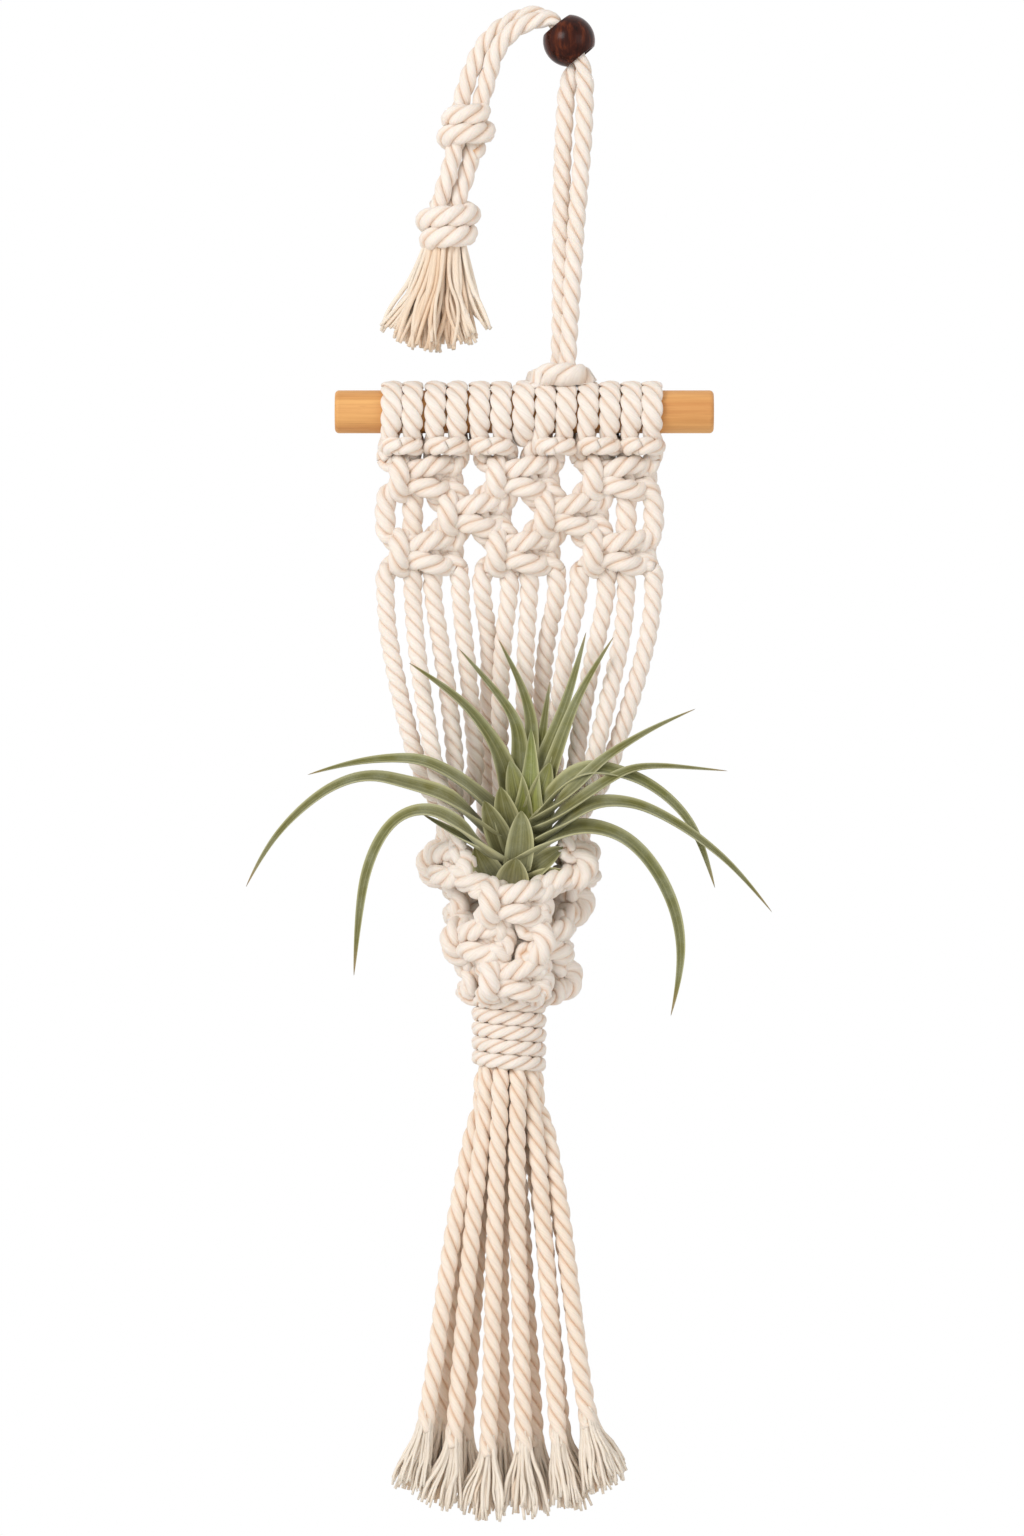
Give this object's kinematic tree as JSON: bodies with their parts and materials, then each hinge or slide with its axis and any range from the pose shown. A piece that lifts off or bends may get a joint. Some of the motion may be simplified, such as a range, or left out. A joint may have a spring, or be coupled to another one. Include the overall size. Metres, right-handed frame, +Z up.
{
  "type": "air plant hanger",
  "caption": "Knotted cotton rope hanger on a wooden dowel, with a small basket that holds an air plant and a long frayed tail.",
  "frame": {"origin": "underside of the hanger's loop, where it rests on its hook", "axes": "+Z up along the hanger, +X to the right along the dowel, -Y towards the viewer"},
  "size_m": [0.1467, 0.0517, 0.4229],
  "materials": {
    "cotton_rope": "matte twisted cotton",
    "honey_wood": "smooth, oiled",
    "dark_bead": "glossy lacquer",
    "plant_leaf": "waxy leaf, velvety at the base"
  },
  "bodies": {
    "hanger": {"hanger_cords": "cotton_rope", "hanger_hitch": "cotton_rope", "hanger_knot_core": "cotton_rope", "hanger_knot_lower": "cotton_rope", "hanger_knot_upper": "cotton_rope", "hanger_tassel": "cotton_rope"},
    "bead": {"bead": "dark_bead"},
    "dowel": {"dowel": "honey_wood"},
    "panel": {"larks_head_1": "cotton_rope", "larks_head_2": "cotton_rope", "larks_head_3": "cotton_rope", "larks_head_4": "cotton_rope", "larks_head_5": "cotton_rope", "larks_head_6": "cotton_rope", "panel_edge_cords_left": "cotton_rope", "panel_edge_cords_right": "cotton_rope", "panel_knot_row1_1": "cotton_rope", "panel_knot_row1_2": "cotton_rope", "panel_knot_row1_3": "cotton_rope", "panel_knot_row2_1": "cotton_rope", "panel_knot_row2_2": "cotton_rope", "panel_knot_row3_1": "cotton_rope", "panel_knot_row3_2": "cotton_rope", "panel_knot_row3_3": "cotton_rope"},
    "basket": {"basket_knot_bottom_1": "cotton_rope", "basket_knot_bottom_2": "cotton_rope", "basket_knot_bottom_3": "cotton_rope", "basket_knot_lower_1": "cotton_rope", "basket_knot_lower_2": "cotton_rope", "basket_knot_lower_3": "cotton_rope", "basket_knot_top_1": "cotton_rope", "basket_knot_top_2": "cotton_rope", "basket_knot_top_3": "cotton_rope", "basket_knot_upper_1": "cotton_rope", "basket_knot_upper_2": "cotton_rope", "basket_knot_upper_3": "cotton_rope", "gathered_cords": "cotton_rope", "gathering_wrap": "cotton_rope", "side_cord_back_1": "cotton_rope", "side_cord_back_2": "cotton_rope", "side_cord_back_3": "cotton_rope", "side_cord_back_4": "cotton_rope", "side_cord_left_1": "cotton_rope", "side_cord_left_2": "cotton_rope", "side_cord_left_3": "cotton_rope", "side_cord_left_4": "cotton_rope", "side_cord_right_1": "cotton_rope", "side_cord_right_2": "cotton_rope", "side_cord_right_3": "cotton_rope", "side_cord_right_4": "cotton_rope"},
    "tail": {"tail_cords_back": "cotton_rope", "tail_cords_front": "cotton_rope", "tail_head": "cotton_rope"},
    "plant": {"air_plant": "plant_leaf"}
  },
  "joints": [
    {"name": "bead_spin", "type": "hinge", "parent": "hanger", "child": "bead", "pos_m": [0.00952, 0, -0.00202], "axis": [-0.6157, 0, 0.788], "continuous": true},
    {"name": "dowel_slide", "type": "slide", "parent": "hanger", "child": "dowel", "axis": [1, 0, 0], "range_m": [-0.012, 0.012]},
    {"name": "panel_swing", "type": "hinge", "parent": "hanger", "child": "panel", "pos_m": [0, 0, -0.1059], "axis": [1, 0, 0], "range_deg": [-20, 20]},
    {"name": "basket_swing", "type": "hinge", "parent": "panel", "child": "basket", "pos_m": [0, 0, -0.1533], "axis": [1, 0, 0], "range_deg": [-15, 15]},
    {"name": "tail_swing", "type": "hinge", "parent": "basket", "child": "tail", "pos_m": [-0.00728, 0, -0.29073], "axis": [1, 0, 0], "range_deg": [-20, 20]},
    {"name": "plant_lift", "type": "slide", "parent": "basket", "child": "plant", "axis": [0, -0.5, 0.866], "range_m": [0, 0.06]}
  ]
}
